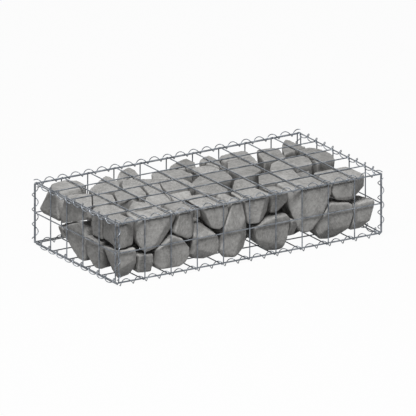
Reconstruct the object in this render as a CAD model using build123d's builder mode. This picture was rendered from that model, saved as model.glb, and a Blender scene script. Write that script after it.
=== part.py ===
from build123d import *
import os

os.makedirs("parts", exist_ok=True)

# Driving dimensions of the basket, in millimetres
CELL = 100.0
CELLS_LONG = 10
CELLS_DEEP = 5
CELLS_HIGH = 2
HALF_LONG = CELL * CELLS_LONG / 2
HALF_DEEP = CELL * CELLS_DEEP / 2
HEIGHT = CELL * CELLS_HIGH

# Mesh wire: two layers of wire welded on each other, the second one outside
WIRE = 4.0
WIRE_SIDES = 8
WELD_SINK = 0.4
WIRE_TAIL = 0.8

# How far the first layer's middle lies outside the basket's plane: the walls stand a wire's
# width outside the lid's edges, and the lid lies level with the walls' top wires
WALL_LAYER = 4.4
LID_LAYER = -0.5
BASE_LAYER = 3.0

# Spiral binders: coils of wire wound round the two meshes that meet at an edge
SPIRAL_WIRE = 3.0
SPIRAL_RADIUS = 10.0
SPIRAL_PITCH = 50.0
OUT_FROM_LONG_EDGE = 1.5
OUT_FROM_END_EDGE = 1.5
OUT_FROM_LID_END = 3.5
OUT_FROM_CORNER = 3.3
UP_FROM_LONG_EDGE = 3.5
UP_FROM_END_EDGE = 1.8
DOWN_FROM_BASE = 2.4

# The origin is on the ground below the middle, and the base spirals lie on the ground
FLOOR = DOWN_FROM_BASE + SPIRAL_RADIUS + SPIRAL_WIRE / 2
ROOF = FLOOR + HEIGHT

# The stones stay clear of the wires by this much, and of each other by twice the joint
STONE_CLEARANCE = 0.5
STONE_JOINT = 0.8
STONE_CROWN = 11.0
FACE_SCALE = 0.97
BACK_SCALE = 0.86


def finish(name, shape):
    """Label one finished piece and write its file."""
    shape.label = name
    export_step(shape, f"parts/{name}.step")


# Welded mesh panels
def wire_bar(start, end):
    """One straight wire, as a bar of few sides that joins the panel in the making."""
    run = Vector(*end) - Vector(*start)
    with BuildSketch(Plane(origin=start, z_dir=run.normalized())) as section:
        RegularPolygon(WIRE / 2, WIRE_SIDES, major_radius=False, rotation=180 / WIRE_SIDES)
    extrude(section.sketch, amount=run.length)


def mesh_panel(name, face, layer, half_width, low, high):
    """A flat mesh on a plane that faces outwards: long wires inside, short wires outside.

    The long wires lie layer outside the plane. The panel reaches from -half_width to
    half_width along the plane's x, and from low to high along its y, with one wire at
    each cell.
    """
    columns = round(2 * half_width / CELL)
    rows = round((high - low) / CELL)
    inner = face.offset(layer)
    outer = face.offset(layer + WIRE - WELD_SINK)
    with BuildPart() as panel:
        for row in range(rows + 1):
            level = low + CELL * row
            wire_bar(
                inner.from_local_coords((-half_width - WIRE_TAIL, level, 0)),
                inner.from_local_coords((half_width + WIRE_TAIL, level, 0)),
            )
        for column in range(columns + 1):
            place = -half_width + CELL * column
            wire_bar(
                outer.from_local_coords((place, low - WIRE_TAIL, 0)),
                outer.from_local_coords((place, high + WIRE_TAIL, 0)),
            )
    finish(name, panel.part)


FRONT_FACE = Plane(origin=(0, -HALF_DEEP, FLOOR), x_dir=(1, 0, 0), z_dir=(0, -1, 0))
BACK_FACE = Plane(origin=(0, HALF_DEEP, FLOOR), x_dir=(-1, 0, 0), z_dir=(0, 1, 0))
LEFT_FACE = Plane(origin=(-HALF_LONG, 0, FLOOR), x_dir=(0, -1, 0), z_dir=(-1, 0, 0))
RIGHT_FACE = Plane(origin=(HALF_LONG, 0, FLOOR), x_dir=(0, 1, 0), z_dir=(1, 0, 0))
LID_FACE = Plane(origin=(0, 0, ROOF), x_dir=(1, 0, 0), z_dir=(0, 0, 1))
BASE_FACE = Plane(origin=(0, 0, FLOOR), x_dir=(1, 0, 0), z_dir=(0, 0, -1))

mesh_panel("front_panel", FRONT_FACE, WALL_LAYER, HALF_LONG, 0, HEIGHT)
mesh_panel("back_panel", BACK_FACE, WALL_LAYER, HALF_LONG, 0, HEIGHT)
mesh_panel("left_end_panel", LEFT_FACE, WALL_LAYER, HALF_DEEP, 0, HEIGHT)
mesh_panel("right_end_panel", RIGHT_FACE, WALL_LAYER, HALF_DEEP, 0, HEIGHT)
mesh_panel("lid_panel", LID_FACE, LID_LAYER, HALF_LONG, -HALF_DEEP, HALF_DEEP)
mesh_panel("base_panel", BASE_FACE, BASE_LAYER, HALF_LONG, -HALF_DEEP, HALF_DEEP)


# Spiral binders
def spiral(name, middle_point, axis, zero, phase, first, last):
    """A right-handed coil along axis, from first to last measured from middle_point.

    At middle_point its wire stands phase degrees round the axis from the direction zero.
    """
    lead = phase + 360 * first / SPIRAL_PITCH
    start_point = Vector(*middle_point) + Vector(*axis) * first
    start_side = Vector(*zero).rotate(Axis((0, 0, 0), axis), lead)
    coil_plane = Plane(origin=start_point, x_dir=start_side, z_dir=axis)
    turns = coil_plane.location * Helix(SPIRAL_PITCH, last - first, SPIRAL_RADIUS)
    with BuildPart() as coil:
        with BuildSketch(Plane(origin=turns @ 0, x_dir=start_side, z_dir=turns % 0)):
            RegularPolygon(
                SPIRAL_WIRE / 2, WIRE_SIDES, major_radius=False, rotation=180 / WIRE_SIDES
            )
        sweep(path=turns, is_frenet=True)
    finish(name, coil.part)


LID_SPIRAL_REACH = HALF_LONG + 5.0
BASE_SPIRAL_REACH = HALF_LONG - 3.0
END_SPIRAL_REACH = HALF_DEEP - 11.0
CORNER_SPIRAL_START = 11.0
lid_long = ROOF + UP_FROM_LONG_EDGE
lid_end = ROOF + UP_FROM_END_EDGE
base_level = FLOOR - DOWN_FROM_BASE
long_edge = HALF_DEEP + OUT_FROM_LONG_EDGE
lid_end_edge = HALF_LONG + OUT_FROM_LID_END
base_end_edge = HALF_LONG + OUT_FROM_END_EDGE
long_spirals = (
    ("front_lid_spiral", -long_edge, lid_long, 116, LID_SPIRAL_REACH),
    ("back_lid_spiral", long_edge, lid_long, 75, LID_SPIRAL_REACH),
    ("front_base_spiral", -long_edge, base_level, 194, BASE_SPIRAL_REACH),
    ("back_base_spiral", long_edge, base_level, 130, BASE_SPIRAL_REACH),
)
for name, y, z, phase, reach in long_spirals:
    spiral(name, (0, y, z), (1, 0, 0), (0, 1, 0), phase, -reach, reach)
end_spirals = (
    ("left_lid_spiral", -lid_end_edge, lid_end, 168),
    ("right_lid_spiral", lid_end_edge, lid_end, 60),
    ("left_base_spiral", -base_end_edge, base_level, 238),
    ("right_base_spiral", base_end_edge, base_level, 300),
)
for name, x, z, phase in end_spirals:
    spiral(name, (x, 0, z), (0, -1, 0), (1, 0, 0), phase, -END_SPIRAL_REACH, END_SPIRAL_REACH)
corner_spirals = (
    ("front_left_corner_spiral", -1, -1, 157),
    ("back_left_corner_spiral", -1, 1, 69),
    ("front_right_corner_spiral", 1, -1, 7),
    ("back_right_corner_spiral", 1, 1, 20),
)
for name, side, depth, phase in corner_spirals:
    corner_x = side * (HALF_LONG + OUT_FROM_CORNER)
    corner_y = depth * (HALF_DEEP + OUT_FROM_CORNER)
    spiral(name, (corner_x, corner_y, FLOOR), (0, 0, 1), (1, 0, 0), phase,
           CORNER_SPIRAL_START, HEIGHT - CORNER_SPIRAL_START)


# Stones
# Each stone is drawn as its outline where it lies against a face of the basket, in that
# face's own two coordinates, with z counted from the base. It has a face a little smaller
# than the outline, its full outline a little way in, and a smaller far side.
STONE_LOW = STONE_CLEARANCE
STONE_HIGH = HEIGHT + LID_LAYER - WIRE / 2 - STONE_CLEARANCE
HALF_LONG_STONES = HALF_LONG - STONE_CLEARANCE
HALF_DEEP_STONES = HALF_DEEP - STONE_CLEARANCE
UP = Plane(origin=(0, 0, FLOOR))
SIDEWAYS = Plane(origin=(0, 0, FLOOR), x_dir=(1, 0, 0), z_dir=(0, -1, 0))
ENDWAYS = Plane(origin=(0, 0, FLOOR), x_dir=(0, 1, 0), z_dir=(1, 0, 0))
AT_FRONT = (SIDEWAYS, HALF_DEEP_STONES, -1)
AT_LEFT = (ENDWAYS, -HALF_LONG_STONES, 1)
AT_LID = (UP, STONE_HIGH, -1)
AT_BASE = (UP, STONE_LOW, 1)


BINDER_REACH = SPIRAL_RADIUS + SPIRAL_WIRE / 2 + STONE_CLEARANCE
corner_reach = HALF_LONG + OUT_FROM_CORNER


def broken_edge(axis_point, inward):
    """The plane at which stones are broken off, to stay clear of one binder."""
    way = Vector(*inward).normalized()
    return Plane(origin=Vector(*axis_point) + way * BINDER_REACH, z_dir=-way)


BROKEN_EDGES = (
    broken_edge((0, -long_edge, lid_long), (0, 1, -1)),
    broken_edge((0, long_edge, lid_long), (0, -1, -1)),
    broken_edge((0, long_edge, base_level), (0, -1, 1)),
    broken_edge((-lid_end_edge, 0, lid_end), (1, 0, -1)),
    broken_edge((-corner_reach, -HALF_DEEP - OUT_FROM_CORNER, 0), (1, 1, 0)),
)


def middle(outline):
    """The mean point of an outline."""
    count = len(outline)
    return (sum(u for u, v in outline) / count, sum(v for u, v in outline) / count)


def shrunk(outline, scale, hold_top, drop):
    """The outline made smaller about its middle, or about its top edge, then let down."""
    centre_u, centre_v = middle(outline)
    if hold_top:
        centre_v = max(v for u, v in outline)
    return [
        (centre_u + scale * (u - centre_u), centre_v + scale * (v - centre_v) - drop)
        for u, v in outline
    ]


def stone(place, outline, depth, crown=STONE_CROWN, face=FACE_SCALE, back=BACK_SCALE,
          waist=None, hold_top=False, drop=0.0, facets=()):
    """A stone against one face of the basket, with each facet cut through three points.

    A waist is the outline further in, for a stone that spreads there.
    """
    plane, start, inward = place
    spread = waist or outline
    sections = (
        (0, outline, face, 0.0),
        (crown, spread, 1.0, 0.0),
        (depth, spread, back, drop),
    )
    with BuildPart() as body:
        for distance, around, scale, let_down in sections:
            with BuildSketch(plane.offset(start + inward * distance)):
                Polygon(*shrunk(around, scale, hold_top, let_down), align=None)
                offset(amount=-STONE_JOINT, kind=Kind.INTERSECTION)
        loft(ruled=True)
        for first, second, third in facets:
            lift = Vector(0, 0, FLOOR)
            corner = Vector(*first) + lift
            across = (Vector(*second) + lift - corner).cross(Vector(*third) + lift - corner)
            if across.dot(body.part.center() - corner) > 0:
                across = -across
            split(bisect_by=Plane(origin=corner, z_dir=across.normalized()), keep=Keep.BOTTOM)
        for edge in BROKEN_EDGES:
            split(bisect_by=edge, keep=Keep.BOTTOM)
    return body.part


def pile(name, stones):
    """Several stones that lie beside each other, as one piece."""
    with BuildPart() as heap:
        add(stones)
    finish(name, heap.part)


# Front, upper row: flat against the front mesh and under the lid
TOP = STONE_HIGH
pile("stones_front_upper_left", [
    stone(AT_FRONT, [(-498.5, TOP), (-424, TOP), (-422, 150), (-428, 110), (-466, 108),
                     (-498.5, 112)], 102, hold_top=True,
          facets=[((-466, -249, 112), (-466, -249, 190), (-424, -228, 150))]),
    stone(AT_FRONT, [(-420, TOP), (-267, TOP), (-271, 176), (-284, 148), (-298, 124), (-326, 100),
                     (-346, 87), (-392, 81), (-406, 98), (-421, 124)], 90, hold_top=True,
          facets=[((-296, -249, 190), (-345, -249, 120), (-300, -232, 118)),
                  ((-396, -249, 100), (-396, -249, 190), (-421, -238, 150))]),
    stone(AT_FRONT, [(-262, TOP), (-194, TOP), (-197, 150), (-207, 108), (-226, 97), (-249, 110),
                     (-282, 130)], 122, hold_top=True,
          facets=[((-215, -249, 110), (-219, -249, 190), (-195, -229, 150))]),
])
pile("stones_front_upper_middle", [
    stone(AT_FRONT, [(-191, TOP), (-180, TOP), (-159, 154), (-190, 157)], 100, hold_top=True,
          facets=[((-192, -236, 197), (-150, -236, 197), (-170, -218, 150))]),
    stone(AT_FRONT, [(-176, TOP), (-72, TOP), (-76, 162), (-92, 121), (-105, 112), (-128, 113),
                     (-142, 128)], 138, hold_top=True),
    stone(AT_FRONT, [(-60, TOP), (-24, TOP), (-2, 112), (5, 80), (4, 50), (-5, 25), (-50, 5),
                     (-90, 12), (-107, 34), (-92, 112)], 108, hold_top=True,
          facets=[((-25, -249, 95), (-50, -249, 12), (5, -228, 60))]),
    stone(AT_FRONT, [(-16, TOP), (97, TOP), (95, 168), (90, 140), (64, 114), (42, 107), (1, 111)],
          105, hold_top=True, facets=[((57, -249, 165), (40, -249, 112), (95, -222, 150))]),
])
pile("stones_front_upper_right", [
    stone(AT_FRONT, [(101, TOP), (158, TOP), (156, 163), (121, 124), (97, 127)], 85,
          hold_top=True, facets=[((100, -249, 197), (166, -249, 197), (120, -226, 122))]),
    stone(AT_FRONT, [(163, TOP), (320, TOP), (319, 163), (302, 120), (285, 92), (248, 50),
                     (228, 42), (206, 47), (194, 68), (177, 110), (166, 140), (161, 165)], 108,
          hold_top=True, facets=[((207, -249, 190), (210, -249, 85), (163, -225, 160))]),
    stone(AT_FRONT, [(323, TOP), (468, TOP), (470, 150), (440, 138), (386, 124), (332, 138),
                     (320, 166)], 135, hold_top=True,
          facets=[((410, -249, 197), (394, -249, 140), (468, -210, 170)),
                  ((325, -249, 145), (392, -249, 140), (386, -232, 122))]),
])

# Front, lower row
pile("stones_front_lower_left", [
    stone(AT_FRONT, [(-498.5, 108), (-426, 105), (-418, 80), (-420, 18), (-430, 5), (-484, 2),
                     (-498.5, 20)], 106, drop=4,
          facets=[((-490, -249, 42), (-442, -249, 62), (-460, -218, 2)),
                  ((-438, -249, 100), (-440, -249, 62), (-418, -236, 60)),
                  ((-499, -165, 98), (-499, -235, 35), (-455, -140, 12))]),
    stone(AT_FRONT, [(-415, 77), (-361, 76), (-357, 50), (-359, 11), (-364, 8), (-415, 13)],
          100, drop=2, facets=[((-415, -249, 78), (-361, -249, 78), (-390, -234, 12))]),
    stone(AT_FRONT, [(-348, 82), (-316, 104), (-286, 124), (-250, 108), (-222, 72), (-221, 48),
                     (-236, 23), (-262, 12), (-338, 14), (-354, 40)], 108, drop=14,
          facets=[((-335, -249, 95), (-326, -249, 30), (-354, -228, 60))]),
])
pile("stones_front_lower_middle", [
    stone(AT_FRONT, [(-195, 152), (-160, 147), (-136, 119), (-113, 90), (-109, 56), (-116, 32),
                     (-160, 19), (-197, 24), (-214, 40)], 108, drop=18,
          facets=[((-200, -249, 98), (-120, -249, 98), (-160, -205, 142)),
                  ((-188, -249, 58), (-140, -249, 38), (-190, -225, 20)),
                  ((-190, -249, 98), (-190, -249, 40), (-214, -228, 60))]),
    stone(AT_FRONT, [(26, 98), (78, 117), (112, 120), (150, 122), (162, 106), (160, 82),
                     (152, 42), (134, 5), (118, 2), (80, 4), (46, 30), (30, 58)], 108, drop=2,
          facets=[((40, -249, 50), (120, -249, 24), (80, -232, 0))]),
    stone(AT_FRONT, [(166, 101), (176, 99), (190, 80), (191, 42), (186, 37), (158, 37)], 80,
          facets=[((156, -249, 82), (191, -249, 82), (175, -226, 37))]),
])
pile("stones_front_lower_right", [
    stone(AT_FRONT, [(314, 132), (386, 121), (401, 112), (403, 72), (385, 28), (340, 6),
                     (310, 3), (286, 6), (262, 44), (268, 72)], 108, drop=2,
          facets=[((290, -249, 42), (380, -249, 40), (330, -228, 1)),
                  ((300, -249, 110), (300, -249, 46), (265, -236, 70))]),
    stone(AT_FRONT, [(407, 112), (482, 118), (486, 108), (466, 46), (438, 21), (397, 18)],
          108, drop=8, facets=[((395, -249, 48), (455, -249, 46), (420, -230, 17))]),
])

# Left end, lower row
pile("stones_left_end_lower", [
    stone(AT_LEFT, [(-22, 146), (55, 115), (92, 97), (60, 56), (20, 28), (-14, 9), (-44, 14),
                    (-50, 100)], 95, drop=4),
    stone(AT_LEFT, [(-54, 108), (-100, 110), (-136, 106), (-139, 12), (-108, 9), (-62, 40),
                    (-54, 70)], 80, drop=2),
    stone(AT_LEFT, [(126, 96), (96, 97), (70, 62), (100, 60), (120, 82)], 90),
])

# Under the lid, as (outline, depth, what else shapes it), row by row from the back
LAYER = 98.0
LID_CROWN = 6.0
LID_FACE_SCALE = 0.985
LID_BACK_SCALE = 0.88
lid_back_left = [
    ([(-496, 142), (-492, 172), (-456, 230), (-400, 240), (-368, 216), (-368, 154), (-392, 138)],
     LAYER - 4, {"crown": 80, "waist": [(-499, 118), (-499, 234), (-456, 244), (-398, 244),
                                        (-364, 218), (-364, 152), (-392, 122)]}),
    ([(-402, 84), (-386, 112), (-290, 190), (-258, 212), (-256, 165), (-262, 122), (-300, 64),
      (-392, 64)], LAYER, {}),
    ([(-254, 168), (-200, 222), (-150, 247), (-146, 220), (-162, 170), (-180, 126), (-226, 152)],
     LAYER - 10, {"facets": [((-205, 225, 199), (-192, 128, 199), (-250, 165, 176))]}),
    ([(-284, 66), (-266, 104), (-232, 148), (-186, 118), (-150, 100), (-114, 66)],
     LAYER - 8, {}),
]
lid_back_middle = [
    ([(-150, 104), (-118, 160), (-48, 164), (-16, 130), (-12, 70), (-104, 70)],
     LAYER - 4, {}),
    ([(-44, 170), (-32, 184), (4, 206), (36, 223), (60, 228), (60, 178), (40, 140), (-14, 140)],
     LAYER - 12, {}),
    ([(12, 130), (72, 134), (86, 110), (90, 66), (8, 66), (4, 96)], LAYER, {}),
    ([(76, 182), (112, 210), (136, 214), (143, 184), (134, 148), (110, 88), (98, 96), (92, 140)],
     LAYER - 8, {}),
]
lid_back_right = [
    ([(146, 174), (172, 195), (206, 202), (244, 200), (264, 190), (254, 136), (152, 136),
      (142, 150)], LAYER - 4, {}),
    ([(144, 128), (210, 130), (214, 66), (114, 66), (124, 92)], LAYER, {}),
    ([(216, 130), (252, 130), (234, 66), (218, 66)], LAYER - 30, {}),
    ([(284, 156), (300, 186), (348, 178), (368, 158), (342, 92), (338, 66), (254, 66)],
     LAYER, {}),
    ([(376, 152), (410, 206), (432, 229), (441, 220), (450, 122), (410, 114), (350, 96)],
     LAYER - 6, {}),
    ([(412, 108), (454, 116), (468, 100), (480, 74), (482, 62), (416, 62)],
     LAYER - 20, {}),
]
lid_centre_left = [
    ([(-497, 84), (-470, 102), (-408, 82), (-404, 64), (-464, -36), (-472, -48), (-497, -50)],
     LAYER, {"crown": 80, "waist": [(-499, 114), (-462, 112), (-404, 84), (-402, 62),
                                    (-463, -36), (-471, -48), (-499, -50)],
             "facets": [((-499, 113, 100), (-499, -22, 148), (-400, 113, 100))]}),
    ([(-400, 66), (-372, 58), (-344, 34), (-374, -38), (-450, -42), (-458, -30)],
     46, {}),
    ([(-336, 40), (-306, 58), (-290, 40), (-290, -46), (-318, -54), (-368, -36)],
     LAYER, {}),
]
lid_centre_middle = [
    ([(-288, 56), (-222, 56), (-236, 0), (-258, -38), (-286, -38)], LAYER, {}),
    ([(-216, 56), (-158, 56), (-158, 40), (-178, 4), (-192, -38), (-246, -38), (-230, 0)],
     LAYER, {}),
    ([(-148, 60), (-62, 58), (-62, 20), (-68, -34), (-180, -38), (-168, 8)],
     LAYER, {}),
    ([(-50, 40), (6, 58), (90, 56), (92, 36), (84, -10), (74, -38), (-30, -38), (-56, -10)],
     LAYER, {"facets": [((8, 58, 199), (2, -38, 199), (-56, 0, 172))]}),
]
lid_centre_right = [
    ([(112, 58), (210, 58), (214, 4), (180, -4), (150, -38), (112, -38)],
     LAYER, {}),
    ([(222, -38), (226, -14), (264, 36), (312, 58), (312, -38)], LAYER, {}),
    ([(316, 58), (392, 58), (400, 20), (376, -38), (318, -38)], LAYER, {}),
    ([(410, 56), (486, 56), (492, 40), (480, 4), (464, -38), (392, -38), (408, 10)],
     LAYER, {}),
]
lid_inner_left = [
    ([(-497, -80), (-470, -58), (-422, -50), (-386, -76), (-398, -142), (-497, -144)],
     82, {}),
    ([(-322, -60), (-300, -90), (-293, -136), (-390, -136), (-380, -106)],
     LAYER, {"facets": [((-322, -62, 199), (-356, -136, 199), (-392, -136, 176))]}),
    ([(-284, -64), (-262, -46), (-186, -44), (-184, -66), (-200, -124), (-286, -124)],
     LAYER, {"facets": [((-284, -48, 199), (-186, -48, 199), (-230, -124, 166))]}),
]
lid_inner_middle = [
    ([(-178, -44), (-94, -44), (-98, -66), (-138, -74), (-178, -104)],
     LAYER, {"facets": [((-178, -46, 192), (-94, -46, 192), (-140, -100, 168))]}),
    ([(-88, -64), (-64, -42), (8, -42), (6, -112), (-8, -138), (-60, -138), (-84, -100)],
     LAYER, {}),
    ([(14, -136), (20, -112), (72, -44), (112, -46), (120, -108), (106, -136)],
     LAYER, {"facets": [((84, -44, 199), (36, -136, 199), (14, -120, 184))]}),
]
lid_inner_right = [
    ([(164, -44), (206, -44), (208, -136), (122, -136), (124, -112)], LAYER, {}),
    ([(214, -42), (288, -42), (290, -60), (270, -136), (212, -136)], LAYER, {}),
    ([(296, -44), (360, -44), (320, -112), (278, -112)],
     LAYER, {"facets": [((296, -44, 180), (360, -44, 180), (300, -120, 160))]}),
]
lid_piles = {
    "back_left": lid_back_left,
    "back_middle": lid_back_middle,
    "back_right": lid_back_right,
    "centre_left": lid_centre_left,
    "centre_middle": lid_centre_middle,
    "centre_right": lid_centre_right,
    "inner_left": lid_inner_left,
    "inner_middle": lid_inner_middle,
    "inner_right": lid_inner_right,
}
LID_SHAPE = {"crown": LID_CROWN, "face": LID_FACE_SCALE, "back": LID_BACK_SCALE}
for where, stones in lid_piles.items():
    pile(f"stones_lid_{where}", [
        stone(AT_LID, outline, depth, **{**LID_SHAPE, **shape})
        for outline, depth, shape in stones
    ])

# The lower layer behind the front and left end rows repeats the lid layer, turned half round
TURN_X = 92.0
TURN_Y = 113.0
LOWER_LAYER = 94.0
LOWER_CROWN = 30.0
LOWER_FACE_SCALE = 0.88


def turned(outline):
    """The outline turned half round about the middle of the lower layer."""
    return [(TURN_X - u, TURN_Y - v) for u, v in outline]


turned_names = {
    "back_left": "front_right",
    "back_middle": "front_middle",
    "back_right": "front_left",
    "centre_left": "centre_right",
    "centre_middle": "centre_middle",
    "centre_right": "centre_left",
    "inner_left": "back_right",
    "inner_middle": "back_middle",
    "inner_right": "back_left",
}
for where, stones in lid_piles.items():
    outlines = [turned(outline) for outline, depth, shape in stones]
    kept = [outline for outline in outlines
            if max(u for u, v in outline) < HALF_LONG_STONES
            and max(v for u, v in outline) < HALF_DEEP]
    pile(f"stones_base_{turned_names[where]}", [
        stone(AT_BASE, outline, LOWER_LAYER, crown=LOWER_CROWN, face=LOWER_FACE_SCALE)
        for outline in kept
    ])
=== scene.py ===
import math
import random

import bmesh
import bpy
from mathutils import Euler, Matrix, Vector


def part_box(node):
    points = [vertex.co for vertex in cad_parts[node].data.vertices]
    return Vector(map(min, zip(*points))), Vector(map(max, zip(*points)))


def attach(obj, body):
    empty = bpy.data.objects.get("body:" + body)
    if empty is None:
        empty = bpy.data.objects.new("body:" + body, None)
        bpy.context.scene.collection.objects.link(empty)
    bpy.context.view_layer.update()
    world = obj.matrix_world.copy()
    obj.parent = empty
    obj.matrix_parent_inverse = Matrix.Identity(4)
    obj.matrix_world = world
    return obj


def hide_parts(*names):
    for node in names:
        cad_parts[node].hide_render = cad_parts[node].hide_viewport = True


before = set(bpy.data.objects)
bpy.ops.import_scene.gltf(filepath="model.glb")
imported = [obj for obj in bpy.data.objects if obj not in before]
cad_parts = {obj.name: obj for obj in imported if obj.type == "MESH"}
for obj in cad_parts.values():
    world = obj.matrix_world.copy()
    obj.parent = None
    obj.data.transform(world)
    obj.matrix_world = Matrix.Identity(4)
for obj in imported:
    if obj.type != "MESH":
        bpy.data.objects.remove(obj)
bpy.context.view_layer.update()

# Helpers
# The finishes and most of the shapes are made of nodes. These functions lay the nodes, run
# the trees that make shapes, and put what they make in the scene.
SOCKET_KINDS = {
    bpy.types.Material: "NodeSocketMaterial",
    float: "NodeSocketFloat",
    int: "NodeSocketInt",
    type(None): "NodeSocketGeometry",
}
# Where a colour mix keeps its two colours and its result.
MIX_UNDER, MIX_OVER, MIX_RESULT = 6, 7, 2


def add_object(name, data):
    """A new object in the scene."""
    made = bpy.data.objects.new(name, data)
    bpy.context.scene.collection.objects.link(made)
    return made


def add_node(tree, kind, inputs=None, **settings):
    """A node with its settings and inputs, where an input is a value or another socket."""
    node = tree.nodes.new(kind)
    for name, value in settings.items():
        setattr(node, name, value)
    for name, value in (inputs or {}).items():
        if isinstance(value, bpy.types.NodeSocket):
            tree.links.new(value, node.inputs[name])
        else:
            node.inputs[name].default_value = value
    return node


def calculate(tree, operation, *numbers):
    """One step of arithmetic on one to three numbers."""
    inputs = dict(enumerate(numbers))
    return add_node(tree, "ShaderNodeMath", inputs, operation=operation).outputs[0]


def spread(tree, amount, low, high, from_low=0.0, from_high=1.0):
    """A number carried from one range to another, and held within it."""
    return add_node(tree, "ShaderNodeMapRange", {
        "Value": amount, "From Min": from_low, "From Max": from_high,
        "To Min": low, "To Max": high,
    }).outputs["Result"]


def noise(tree, place, scale, detail, roughness, distortion=0.0):
    """A cloudy pattern, from nought to one."""
    return add_node(tree, "ShaderNodeTexNoise", {
        "Vector": place, "Scale": scale, "Detail": detail, "Roughness": roughness,
        "Distortion": distortion,
    }).outputs["Fac"]


def paint_layers(tree, colour, layers):
    """A colour with layers of paint over it, each one showing where its pattern lets it.

    A layer is its pattern, the value at which it begins, the value at which it is full, how
    much it then covers, and its paint.
    """
    for pattern, begins, full, most, paint in layers:
        cover = spread(tree, pattern, 0.0, most, begins, full)
        mix = add_node(tree, "ShaderNodeMix", {"Factor": cover}, data_type="RGBA")
        for side, value in ((MIX_UNDER, colour), (MIX_OVER, paint)):
            if isinstance(value, bpy.types.NodeSocket):
                tree.links.new(value, mix.inputs[side])
            else:
                mix.inputs[side].default_value = (*value, 1)
        colour = mix.outputs[MIX_RESULT]
    return colour


def give_relief(tree, surface, height, strength, depth):
    """Let the light show a height on a surface that is too fine for its mesh."""
    relief = add_node(tree, "ShaderNodeBump", {
        "Height": height, "Strength": strength, "Distance": depth,
    }).outputs["Normal"]
    tree.links.new(relief, surface.inputs["Normal"])


def new_material(name):
    """A material with only its surface shader and output, ready to be wired up."""
    material = bpy.data.materials.new(name)
    material.use_nodes = True
    tree = material.node_tree
    tree.nodes.clear()
    surface = add_node(tree, "ShaderNodeBsdfPrincipled")
    add_node(tree, "ShaderNodeOutputMaterial", {"Surface": surface.outputs["BSDF"]})
    return material, tree, surface


def new_shape_tree(name, **inputs):
    """A tree that makes a shape, with one named input for each thing it is made with.

    Each input comes with a value to start from, or with None where it takes in a shape.
    """
    tree = bpy.data.node_groups.new(name, "GeometryNodeTree")
    tree.interface.new_socket("Shape", in_out="OUTPUT", socket_type="NodeSocketGeometry")
    for label, value in inputs.items():
        kind = SOCKET_KINDS[type(value)]
        socket = tree.interface.new_socket(label, in_out="INPUT", socket_type=kind)
        if value is not None:
            socket.default_value = value
    start = add_node(tree, "NodeGroupInput")
    return tree, start.outputs


def end_shape_tree(tree, shape, material):
    """Close a tree: every instance made real, and one finish on all of it."""
    real = add_node(tree, "GeometryNodeRealizeInstances", {"Geometry": shape}).outputs[0]
    dressed = add_node(tree, "GeometryNodeSetMaterial", {
        "Geometry": real, "Material": material,
    }).outputs[0]
    add_node(tree, "NodeGroupOutput", {"Shape": dressed})


def run_shape_tree(name, tree, sizes, start_mesh=None, before=None):
    """Run a tree with its sizes set, and return what it makes as a plain mesh of one finish."""
    if start_mesh is None:
        start_mesh = bpy.data.meshes.new(name)
    maker = add_object(name, start_mesh)
    if before:
        before(maker)
    modifier = maker.modifiers.new("shape", "NODES")
    modifier.node_group = tree
    for item in tree.interface.items_tree:
        if item.in_out == "INPUT" and item.name in sizes:
            modifier[item.identifier] = sizes[item.name]
    view = bpy.context.evaluated_depsgraph_get()
    made = bpy.data.meshes.new_from_object(maker.evaluated_get(view), depsgraph=view)
    bpy.data.objects.remove(maker)
    bpy.data.meshes.remove(start_mesh)
    made.name = name
    finish = next(material for material in made.materials if material)
    made.materials.clear()
    made.materials.append(finish)
    made.polygons.foreach_set("material_index", [0] * len(made.polygons))
    return made


def point_of(tree, x=0.0, y=0.0, z=0.0):
    """A point or a direction from its three numbers."""
    return add_node(tree, "ShaderNodeCombineXYZ", {"X": x, "Y": y, "Z": z}).outputs[0]


def round_tube(tree, line, radius, sides):
    """A round wire along a line, closed at its ends."""
    section = add_node(tree, "GeometryNodeCurvePrimitiveCircle", {
        "Resolution": sides, "Radius": radius,
    }).outputs[0]
    return add_node(tree, "GeometryNodeCurveToMesh", {
        "Curve": line, "Profile Curve": section, "Fill Caps": True,
    }).outputs[0]


def stood_up(centre, along, outwards):
    """The place of a flat panel: its own x runs along, and its own z faces outwards."""
    x, z = Vector(along), Vector(outwards)
    y = z.cross(x)
    turn = Matrix((x, y, z)).transposed().to_4x4()
    return Matrix.Translation(centre) @ turn


def link_piece(name, mesh, node):
    """Put a finished mesh in the scene in the place of one solid of the frame."""
    piece = add_object(name, mesh)
    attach(piece, "root")
    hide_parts(node)


# Viewpoint
# The basket is seen from its front left corner and a little from above, with parallel
# edges kept parallel, and the middle of the picture is about half way up the basket.
PICTURE_SIDE = 416
MILLIMETRES_PER_PIXEL = 3.2478
MILLIMETRES_PER_METRE = 1000
VIEW_TURN = math.radians(31.68)
VIEW_TILT = math.radians(18.03)
VIEW_CENTRE = Vector((0, 0, 0.1136))
VIEW_DISTANCE = 4.0


towards_viewer = Vector((
    -math.sin(VIEW_TURN) * math.cos(VIEW_TILT),
    -math.cos(VIEW_TURN) * math.cos(VIEW_TILT),
    math.sin(VIEW_TILT),
))
camera_data = bpy.data.cameras.new("viewpoint")
camera_data.type = "ORTHO"
camera_data.ortho_scale = PICTURE_SIDE * MILLIMETRES_PER_PIXEL / MILLIMETRES_PER_METRE
camera = add_object("viewpoint", camera_data)
camera.location = VIEW_CENTRE + VIEW_DISTANCE * towards_viewer
camera.rotation_euler = towards_viewer.to_track_quat("Z", "Y").to_euler()
bpy.context.scene.camera = camera


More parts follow.
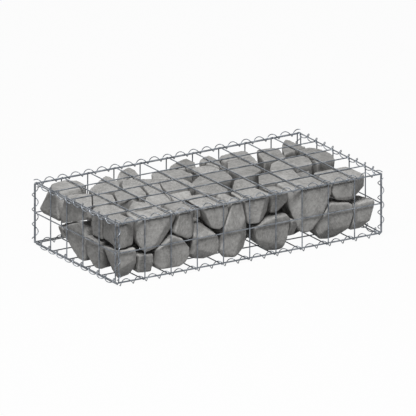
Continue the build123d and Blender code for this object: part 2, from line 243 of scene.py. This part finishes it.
# Zinc coating
# The mesh and the binders are drawn steel wire with a thick coat of zinc, which has gone
# dull and bluish, with paler blooms, darker patches of grime and a fine speckle.
ZINC_SHADE = (0.125, 0.140, 0.162)
ZINC_BLOOM = (0.290, 0.312, 0.342)
ZINC_GRIME = (0.050, 0.055, 0.063)
ZINC_METAL = 0.55
ZINC_SMOOTHEST = 0.20
ZINC_ROUGHEST = 0.42
GRIME_RELIEF = 2.0
ZINC_RELIEF_STRENGTH = 0.25
ZINC_RELIEF_DEPTH = 0.0002

zinc, tree, surface = new_material("zinc_coated_wire")
place = add_node(tree, "ShaderNodeTexCoord").outputs["Object"]
bloom = noise(tree, place, scale=45.0, detail=4.0, roughness=0.6)
speck = noise(tree, place, scale=700.0, detail=2.0, roughness=0.5)
grime = noise(tree, place, scale=160.0, detail=2.0, roughness=0.5)
colour = paint_layers(tree, ZINC_SHADE, (
    (bloom, 0.40, 0.66, 1.0, ZINC_BLOOM),
    (grime, 0.58, 0.72, 0.55, ZINC_GRIME),
))
tree.links.new(colour, surface.inputs["Base Color"])
tree.links.new(spread(tree, speck, ZINC_SMOOTHEST, ZINC_ROUGHEST), surface.inputs["Roughness"])
surface.inputs["Metallic"].default_value = ZINC_METAL
height = calculate(tree, "MULTIPLY_ADD", grime, GRIME_RELIEF, speck)
give_relief(tree, surface, height, ZINC_RELIEF_STRENGTH, ZINC_RELIEF_DEPTH)


# Welded mesh panels
# Six flat panels of round 4 mm wire in 100 mm squares, the long wires inside and the short
# ones laid over them. Each crossing is pressed and welded, which leaves a bead of metal.
CELL = 0.100
WIRE_RADIUS = 0.0020
LAYER_STEP = 0.0036
WIRE_TAIL = 0.0008
WELD_BEAD = 0.0027
BEAD_LEAST = (0.85, 0.85, 0.55)
BEAD_MOST = (1.12, 1.12, 0.72)
BEAD_SEED = 4
BEAD_FINENESS = 3
WIRE_SWAY = 0.0005
SWAY_PITCH = 9.0
SWAY_DETAIL = 1.0
SWAY_SEED_STEP = 3.7
NOISE_MIDDLE = (0.5, 0.5, 0.5)
WIRE_STEP = 0.020
WIRE_SIDES = 12


def row_of_wires(tree, half_length, across, count, step, level, start):
    """Equal straight wires side by side: along x, or along y where across is true."""
    low = calculate(tree, "MULTIPLY", half_length, -1.0)
    ends = [point_of(tree, **{"y" if across else "x": value}) for value in (low, half_length)]
    wire = add_node(tree, "GeometryNodeCurvePrimitiveLine", {"Start": ends[0], "End": ends[1]})
    fine = add_node(tree, "GeometryNodeResampleCurve", {
        "Curve": wire.outputs[0], "Length": WIRE_STEP,
    }, mode="LENGTH").outputs[0]
    first = calculate(tree, "MULTIPLY", calculate(tree, "SUBTRACT", count, 1.0), step)
    first = calculate(tree, "MULTIPLY", first, -0.5)
    side = "x" if across else "y"
    places = add_node(tree, "GeometryNodeMeshLine", {
        "Count": count,
        "Start Location": point_of(tree, z=level, **{side: first}),
        "Offset": point_of(tree, **{side: step}),
    }).outputs[0]
    wires = add_node(tree, "GeometryNodeInstanceOnPoints", {"Points": places, "Instance": fine})
    real = add_node(tree, "GeometryNodeRealizeInstances", {"Geometry": wires.outputs[0]}).outputs[0]
    here = add_node(tree, "GeometryNodeInputPosition").outputs[0]
    sway = add_node(tree, "ShaderNodeTexNoise", {
        "Vector": here, "W": start["Seed"], "Scale": SWAY_PITCH, "Detail": SWAY_DETAIL,
    }, noise_dimensions="4D").outputs["Color"]
    centred = add_node(tree, "ShaderNodeVectorMath", {0: sway, 1: NOISE_MIDDLE},
                       operation="SUBTRACT").outputs[0]
    shift = add_node(tree, "ShaderNodeVectorMath", {0: centred, "Scale": start["Sway"]},
                     operation="SCALE").outputs[0]
    bent = add_node(tree, "GeometryNodeSetPosition", {"Geometry": real, "Offset": shift})
    return round_tube(tree, bent.outputs[0], start["Wire radius"], WIRE_SIDES)


mesh_tree, start = new_shape_tree("welded_mesh", **{
    "Half width": 0.5, "Half height": 0.1, "Columns": 11, "Rows": 3, "Cell": CELL,
    "Tail": WIRE_TAIL, "Wire radius": WIRE_RADIUS, "Layer step": LAYER_STEP,
    "Bead radius": WELD_BEAD, "Sway": WIRE_SWAY, "Seed": 1.0, "Finish": zinc,
})
long_half = calculate(mesh_tree, "ADD", start["Half width"], start["Tail"])
short_half = calculate(mesh_tree, "ADD", start["Half height"], start["Tail"])
long_wires = row_of_wires(mesh_tree, long_half, False, start["Rows"], start["Cell"], 0.0, start)
short_wires = row_of_wires(mesh_tree, short_half, True, start["Columns"], start["Cell"],
                           start["Layer step"], start)
crossings = add_node(mesh_tree, "GeometryNodeMeshGrid", {
    "Size X": calculate(mesh_tree, "MULTIPLY", start["Half width"], 2.0),
    "Size Y": calculate(mesh_tree, "MULTIPLY", start["Half height"], 2.0),
    "Vertices X": start["Columns"], "Vertices Y": start["Rows"],
}).outputs[0]
weld_level = calculate(mesh_tree, "MULTIPLY", start["Layer step"], 0.5)
crossings = add_node(mesh_tree, "GeometryNodeSetPosition", {
    "Geometry": crossings, "Offset": point_of(mesh_tree, z=weld_level),
}).outputs[0]
bead = add_node(mesh_tree, "GeometryNodeMeshIcoSphere", {
    "Radius": start["Bead radius"], "Subdivisions": BEAD_FINENESS,
}).outputs[0]
bead_sizes = add_node(mesh_tree, "FunctionNodeRandomValue", {
    0: BEAD_LEAST, 1: BEAD_MOST, "Seed": BEAD_SEED,
}, data_type="FLOAT_VECTOR").outputs[0]
beads = add_node(mesh_tree, "GeometryNodeInstanceOnPoints", {
    "Points": crossings, "Instance": bead, "Scale": bead_sizes,
}).outputs[0]
joined = add_node(mesh_tree, "GeometryNodeJoinGeometry")
for part in (beads, short_wires, long_wires):
    mesh_tree.links.new(part, joined.inputs[0])
end_shape_tree(mesh_tree, joined.outputs[0], start["Finish"])


def inner_middle(node, outwards):
    """The middle of a panel's inner wires, from the box of its solid in the frame."""
    low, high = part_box(node)
    return (low + high) / 2 - Vector(outwards) * LAYER_STEP / 2


# Each panel: the way its long wires run, the way it faces, and its half size in cells.
panels = {
    "front_panel": ((1, 0, 0), (0, -1, 0), 5, 1),
    "back_panel": ((-1, 0, 0), (0, 1, 0), 5, 1),
    "left_end_panel": ((0, -1, 0), (-1, 0, 0), 2.5, 1),
    "right_end_panel": ((0, 1, 0), (1, 0, 0), 2.5, 1),
    "lid_panel": ((1, 0, 0), (0, 0, 1), 5, 2.5),
    "base_panel": ((1, 0, 0), (0, 0, -1), 5, 2.5),
}
for seed, (node, (along, outwards, half_columns, half_rows)) in enumerate(panels.items()):
    sizes = {
        "Half width": half_columns * CELL, "Half height": half_rows * CELL,
        "Columns": round(2 * half_columns) + 1, "Rows": round(2 * half_rows) + 1,
        "Seed": SWAY_SEED_STEP * seed,
    }
    mesh = run_shape_tree(node + "_wires", mesh_tree, sizes)
    mesh.transform(stood_up(inner_middle(node, outwards), along, outwards))
    link_piece(node + "_wires", mesh, node)


# Spiral binders
# A coil of 3 mm zinc-coated wire screwed along each edge, round the edge wires of the two
# panels that meet there. The coils are wound by hand, so their turns are a little uneven.
BINDER_WIRE_RADIUS = 0.0015
BINDER_RADIUS = 0.0100
BINDER_PITCH = 0.050
BINDER_STEPS_PER_TURN = 36
BINDER_SIDES = 10
TURN_PLAY = 0.05
TURN_PLAY_PITCH = 22.0
PLAY_SEED_STEP = 5.3
ALONG_X = ((1, 0, 0), (0, 1, 0))
ALONG_Y = ((0, -1, 0), (1, 0, 0))
UPRIGHT = ((0, 0, 1), (1, 0, 0))

binder_tree, start = new_shape_tree("spiral_binder", **{
    "Half length": 0.5, "Radius": BINDER_RADIUS, "Pitch": BINDER_PITCH, "Phase": 0.0,
    "Wire radius": BINDER_WIRE_RADIUS, "Play": TURN_PLAY, "Seed": 1.0, "Finish": zinc,
})
low_end = calculate(binder_tree, "MULTIPLY", start["Half length"], -1.0)
axis_line = add_node(binder_tree, "GeometryNodeCurvePrimitiveLine", {
    "Start": point_of(binder_tree, z=low_end),
    "End": point_of(binder_tree, z=start["Half length"]),
}).outputs[0]
step_length = calculate(binder_tree, "DIVIDE", start["Pitch"], float(BINDER_STEPS_PER_TURN))
axis_line = add_node(binder_tree, "GeometryNodeResampleCurve", {
    "Curve": axis_line, "Length": step_length,
}, mode="LENGTH").outputs[0]
along_axis = add_node(binder_tree, "ShaderNodeSeparateXYZ", {
    0: add_node(binder_tree, "GeometryNodeInputPosition").outputs[0],
}).outputs["Z"]
turn = calculate(binder_tree, "DIVIDE", along_axis, start["Pitch"])
turn = calculate(binder_tree, "MULTIPLY_ADD", turn, math.tau, start["Phase"])
play = add_node(binder_tree, "ShaderNodeTexNoise", {
    "W": calculate(binder_tree, "ADD", along_axis, start["Seed"]), "Scale": TURN_PLAY_PITCH,
}, noise_dimensions="1D").outputs["Fac"]
shrink = calculate(binder_tree, "MULTIPLY", play, start["Play"])
radius = calculate(binder_tree, "MULTIPLY", start["Radius"],
                   calculate(binder_tree, "SUBTRACT", 1.0, shrink))
wound = add_node(binder_tree, "GeometryNodeSetPosition", {
    "Geometry": axis_line,
    "Position": point_of(
        binder_tree,
        x=calculate(binder_tree, "MULTIPLY", radius, calculate(binder_tree, "COSINE", turn)),
        y=calculate(binder_tree, "MULTIPLY", radius, calculate(binder_tree, "SINE", turn)),
        z=along_axis,
    ),
}).outputs[0]
coil = round_tube(binder_tree, wound, start["Wire radius"], BINDER_SIDES)
end_shape_tree(binder_tree, coil, start["Finish"])

# A coil's cut ends lean with its wire, so they reach a little past the ends of its line.
turn_length = math.hypot(math.tau * BINDER_RADIUS, BINDER_PITCH)
end_overhang = BINDER_WIRE_RADIUS * math.tau * BINDER_RADIUS / turn_length
# Each binder: the way it runs, and the angle of its wire at its middle in degrees.
binders = {
    "front_lid": (ALONG_X, 116),
    "back_lid": (ALONG_X, 75),
    "front_base": (ALONG_X, 194),
    "back_base": (ALONG_X, 130),
    "left_lid": (ALONG_Y, 168),
    "right_lid": (ALONG_Y, 60),
    "left_base": (ALONG_Y, 238),
    "right_base": (ALONG_Y, 300),
    "front_left_corner": (UPRIGHT, 157),
    "back_left_corner": (UPRIGHT, 69),
    "front_right_corner": (UPRIGHT, 7),
    "back_right_corner": (UPRIGHT, 20),
}
for seed, (edge, ((axis, zero), phase)) in enumerate(binders.items()):
    node = edge + "_spiral"
    low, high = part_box(node)
    half_length = abs((high - low).dot(Vector(axis))) / 2 - end_overhang
    sizes = {
        "Half length": half_length, "Phase": math.radians(phase), "Seed": PLAY_SEED_STEP * seed,
    }
    mesh = run_shape_tree(edge + "_binder", binder_tree, sizes)
    mesh.transform(stood_up((low + high) / 2, zero, axis))
    link_piece(edge + "_binder", mesh, node)


# Stone
# A hard grey quarry stone: mottled, faintly bedded and pitted, with a fine dark and pale
# grain. The arrises are bruised paler, the hollows and creases are darkened with painted
# shade, and each block has its own tone and lie of bedding.
STONE_PALE = (0.470, 0.464, 0.450)
STONE_GREY = (0.355, 0.350, 0.339)
STONE_DARK = (0.220, 0.216, 0.208)
# The dark grain colour is also used as painted shade in the hollows and creases.
GRAIN_DARK_AND_HOLLOW_SHADE = (0.095, 0.093, 0.090)
ARRIS_PALE = (0.580, 0.572, 0.556)
STONE_SATURATION = 0.9
DARKEST_BLOCK = 0.86
PALEST_BLOCK = 1.10
STONE_SMOOTHEST = 0.80
STONE_ROUGHEST = 0.96
STONE_GLOSS = 0.25
BEDDING_SCALES = (40.0, 40.0, 330.0)
BEDDING_RELIEF = 0.45
GRAIN_RELIEF = 0.30
STONE_RELIEF_STRENGTH = 0.55
STONE_RELIEF_DEPTH = 0.0016

stone, tree, surface = new_material("quarried_stone")
place = add_node(tree, "ShaderNodeAttribute", attribute_name="stone_place").outputs["Vector"]
tone = add_node(tree, "ShaderNodeAttribute", attribute_name="stone_tone").outputs["Fac"]
mottle = noise(tree, place, scale=16.0, detail=6.0, roughness=0.62)
beds = add_node(tree, "ShaderNodeMapping", {"Vector": place, "Scale": BEDDING_SCALES}).outputs[0]
bedding = noise(tree, beds, scale=1.0, detail=3.0, roughness=0.6, distortion=0.25)
grain = noise(tree, place, scale=420.0, detail=3.0, roughness=0.7)
pits = noise(tree, place, scale=110.0, detail=4.0, roughness=0.6)
edge = add_node(tree, "ShaderNodeNewGeometry").outputs["Pointiness"]
colour = paint_layers(tree, STONE_DARK, (
    (mottle, 0.32, 0.68, 1.0, STONE_GREY),
    (bedding, 0.46, 0.70, 0.55, STONE_PALE),
    (pits, 0.50, 0.64, 0.24, GRAIN_DARK_AND_HOLLOW_SHADE),
    (pits, 0.48, 0.34, 0.30, STONE_PALE),
    (grain, 0.56, 0.70, 0.45, GRAIN_DARK_AND_HOLLOW_SHADE),
    (grain, 0.44, 0.30, 0.45, STONE_PALE),
    (edge, 0.52, 0.60, 0.55, ARRIS_PALE),
    # Painted shade: where pointiness is low, in the hollows and creases between facets, the dark
    # grain colour is painted in.
    (edge, 0.49, 0.40, 0.45, GRAIN_DARK_AND_HOLLOW_SHADE),
))
lightness = add_node(tree, "ShaderNodeHueSaturation", {
    "Color": colour, "Saturation": STONE_SATURATION,
    "Value": spread(tree, tone, DARKEST_BLOCK, PALEST_BLOCK),
}).outputs[0]
tree.links.new(lightness, surface.inputs["Base Color"])
tree.links.new(spread(tree, grain, STONE_SMOOTHEST, STONE_ROUGHEST), surface.inputs["Roughness"])
surface.inputs["Specular IOR Level"].default_value = STONE_GLOSS
height = calculate(tree, "MULTIPLY_ADD", bedding, BEDDING_RELIEF, pits)
height = calculate(tree, "MULTIPLY_ADD", grain, GRAIN_RELIEF, height)
give_relief(tree, surface, height, STONE_RELIEF_STRENGTH, STONE_RELIEF_DEPTH)


# Broken blocks
# Quarried blocks, 95 to 215 mm long, laid dry in the basket. Each one starts as its plain
# solid from the frame, has chips struck off its arrises, and then gets a broken surface.
SAME_CORNER = 1e-6
ORDER_DIGITS = 5
VOXEL = 0.0037
CHIPS = 5
CHIP_LEAST = 0.001
CHIP_MOST = 0.005
CHIP_WANDER = 0.35
CHIP_OUTWARD_LEAST = 0.4
SOFTENING = 1
SOFTENING_SHARE = 0.5
LUMP_DETAIL = 3.0
ROUGH_DETAIL = 2.0
FIRST_SEED = 20
SURFACE_SEEDS = 50
PATTERN_REACH = 5

surface_tree, start = new_shape_tree("broken_surface", **{
    "Block": None, "Hollow depth": 0.0012, "Hollow scale": 17.0, "Lump depth": 0.0026,
    "Lump scale": 34.0, "Rough depth": 0.0010, "Rough scale": 130.0, "Raised": 0.0028,
    "Seed": 1.0, "Finish": stone,
})
here = add_node(surface_tree, "GeometryNodeInputPosition").outputs[0]
hollows = add_node(surface_tree, "ShaderNodeTexVoronoi", {
    "Vector": here, "W": start["Seed"], "Scale": start["Hollow scale"],
}, voronoi_dimensions="4D").outputs["Distance"]
depth = calculate(surface_tree, "MULTIPLY", calculate(surface_tree, "SUBTRACT", 1.0, hollows),
                  start["Hollow depth"])
for label, detail in (("Lump", LUMP_DETAIL), ("Rough", ROUGH_DETAIL)):
    pattern = add_node(surface_tree, "ShaderNodeTexNoise", {
        "Vector": here, "W": start["Seed"], "Scale": start[label + " scale"], "Detail": detail,
    }, noise_dimensions="4D").outputs["Fac"]
    depth = calculate(surface_tree, "MULTIPLY_ADD", pattern, start[label + " depth"], depth)
depth = calculate(surface_tree, "SUBTRACT", depth, start["Raised"])
inwards = add_node(surface_tree, "ShaderNodeVectorMath", {
    0: add_node(surface_tree, "GeometryNodeInputNormal").outputs[0],
    "Scale": calculate(surface_tree, "MULTIPLY", depth, -1.0),
}, operation="SCALE").outputs[0]
broken = add_node(surface_tree, "GeometryNodeSetPosition", {
    "Geometry": start["Block"], "Offset": inwards,
}).outputs[0]
end_shape_tree(surface_tree, broken, start["Finish"])


def middle_of(block):
    """The mean of a block's corners."""
    return sum((vert.co for vert in block.verts), Vector()) / len(block.verts)


def in_order(point):
    """A key that sorts points by where they are, so that every run takes them alike."""
    return tuple(round(c, ORDER_DIGITS) for c in point)


def separate_blocks(node):
    """The plain blocks of one node, each as its own closed mesh in edit form."""
    whole = bmesh.new()
    whole.from_mesh(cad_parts[node].data)
    bmesh.ops.remove_doubles(whole, verts=whole.verts, dist=SAME_CORNER)
    waiting = set(whole.verts)
    blocks = []
    while waiting:
        seen = {waiting.pop()}
        front = list(seen)
        while front:
            vert = front.pop()
            for link in vert.link_edges:
                other = link.other_vert(vert)
                if other not in seen:
                    seen.add(other)
                    front.append(other)
        waiting -= seen
        block = bmesh.new()
        for vert in sorted(seen, key=lambda vert: in_order(vert.co)):
            block.verts.new(vert.co)
        bmesh.ops.convex_hull(block, input=block.verts)
        loose = [vert for vert in block.verts if not vert.link_faces]
        bmesh.ops.delete(block, geom=loose, context="VERTS")
        blocks.append(block)
    whole.free()
    blocks.sort(key=lambda block: in_order(middle_of(block)))
    return blocks


def strike_chips(block, chance):
    """Take chips off the arrises and corners of a block, each one as a flat cut."""
    for _ in range(CHIPS):
        block.faces.ensure_lookup_table()
        sides = chance.sample(range(len(block.faces)), 2)
        outward = sum((block.faces[side].normal for side in sides), Vector())
        outward += CHIP_WANDER * Vector([chance.uniform(-1, 1) for _ in range(3)])
        if outward.length < CHIP_OUTWARD_LEAST:
            continue
        outward.normalize()
        top = max(vert.co.dot(outward) for vert in block.verts)
        cut = top - chance.uniform(CHIP_LEAST, CHIP_MOST)
        bmesh.ops.bisect_plane(
            block, geom=[*block.verts, *block.edges, *block.faces],
            plane_co=outward * cut, plane_no=outward, clear_outer=True,
        )
        rim = [link for link in block.edges if link.is_boundary]
        bmesh.ops.contextual_create(block, geom=rim)
        bmesh.ops.recalc_face_normals(block, faces=block.faces)


def make_even(maker):
    """Turn a block's few large faces into small even ones, and soften its arrises a little."""
    even = maker.modifiers.new("even", "REMESH")
    even.mode = "VOXEL"
    even.voxel_size = VOXEL
    even.use_smooth_shade = True
    soft = maker.modifiers.new("soft", "SMOOTH")
    soft.factor = SOFTENING_SHARE
    soft.iterations = SOFTENING


def mark_block(mesh, centre, chance):
    """Give a block its own tone, and its own lie of the bedding."""
    tones = mesh.attributes.new("stone_tone", "FLOAT", "POINT")
    tones.data.foreach_set("value", [chance.random()] * len(mesh.vertices))
    lie = Euler([chance.uniform(0, math.tau) for _ in range(3)]).to_matrix()
    away = Vector([chance.uniform(-PATTERN_REACH, PATTERN_REACH) for _ in range(3)])
    places = []
    for vert in mesh.vertices:
        places.extend(lie @ (vert.co - centre) + away)
    stone_places = mesh.attributes.new("stone_place", "FLOAT_VECTOR", "POINT")
    stone_places.data.foreach_set("vector", places)


stone_nodes = sorted(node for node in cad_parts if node.startswith("stones_"))
for number, node in enumerate(stone_nodes):
    chance = random.Random(FIRST_SEED + number)
    pieces = []
    for block in separate_blocks(node):
        centre = middle_of(block)
        strike_chips(block, chance)
        plain = bpy.data.meshes.new("block")
        block.to_mesh(plain)
        block.free()
        sizes = {"Seed": chance.uniform(0, SURFACE_SEEDS)}
        mesh = run_shape_tree("block", surface_tree, sizes, start_mesh=plain, before=make_even)
        mark_block(mesh, centre, chance)
        pieces.append(add_object("block", mesh))
    if len(pieces) > 1:
        with bpy.context.temp_override(active_object=pieces[0],
                                       selected_editable_objects=pieces):
            bpy.ops.object.join()
    mesh = pieces[0].data.copy()
    bpy.data.objects.remove(pieces[0])
    mesh.name = node + "_blocks"
    link_piece(node + "_blocks", mesh, node)


# Studio
# A white sweep that keeps only a faint shadow, with one large soft lamp high up on the
# viewer's side and an even light from the room.
FLOOR_HALF = 6.0
FLOOR_TONE = (0.50, 0.50, 0.50, 1)
WHITE = (1, 1, 1, 1)
FLOOR_WHITE_SHARE = 0.96
ROOM_LIGHT = 0.12
LAMP_POWER = 245.0
LAMP_SIDE = 1.7
LAMP_PLACE = Vector((-1.33, -1.79, 4.10))


def seen_directly(tree):
    """One where the camera, a gloss or a clear surface looks, and nought elsewhere."""
    path = add_node(tree, "ShaderNodeLightPath").outputs
    seen = calculate(tree, "MAXIMUM", path["Is Camera Ray"], path["Is Glossy Ray"])
    return calculate(tree, "MAXIMUM", seen, path["Is Transmission Ray"])


floor_mesh = bpy.data.meshes.new("floor")
floor_mesh.from_pydata(
    [(x * FLOOR_HALF, y * FLOOR_HALF, 0) for x, y in ((-1, -1), (1, -1), (1, 1), (-1, 1))],
    [], [(0, 1, 2, 3)],
)
floor_paint = bpy.data.materials.new("white_sweep")
floor_paint.use_nodes = True
tree = floor_paint.node_tree
tree.nodes.clear()
matt = add_node(tree, "ShaderNodeBsdfDiffuse", {"Color": FLOOR_TONE}).outputs[0]
white = add_node(tree, "ShaderNodeEmission", {"Color": WHITE, "Strength": 1.0}).outputs[0]
share = calculate(tree, "MULTIPLY", seen_directly(tree), FLOOR_WHITE_SHARE)
mixed = add_node(tree, "ShaderNodeMixShader", {"Fac": share, 1: matt, 2: white}).outputs[0]
add_node(tree, "ShaderNodeOutputMaterial", {"Surface": mixed})
floor_mesh.materials.append(floor_paint)
floor = add_object("floor", floor_mesh)

room = bpy.data.worlds.new("room")
room.use_nodes = True
tree = room.node_tree
tree.nodes.clear()
strength = spread(tree, seen_directly(tree), ROOM_LIGHT, 1.0)
glow = add_node(tree, "ShaderNodeBackground", {"Color": WHITE, "Strength": strength})
add_node(tree, "ShaderNodeOutputWorld", {"Surface": glow.outputs[0]})
bpy.context.scene.world = room

lamp_data = bpy.data.lights.new("soft_lamp", "AREA")
lamp_data.energy = LAMP_POWER
lamp_data.size = LAMP_SIDE
lamp = add_object("soft_lamp", lamp_data)
lamp.location = LAMP_PLACE
lamp.rotation_euler = (LAMP_PLACE - VIEW_CENTRE).to_track_quat("Z", "Y").to_euler()

bpy.context.scene.view_settings.view_transform = "Standard"
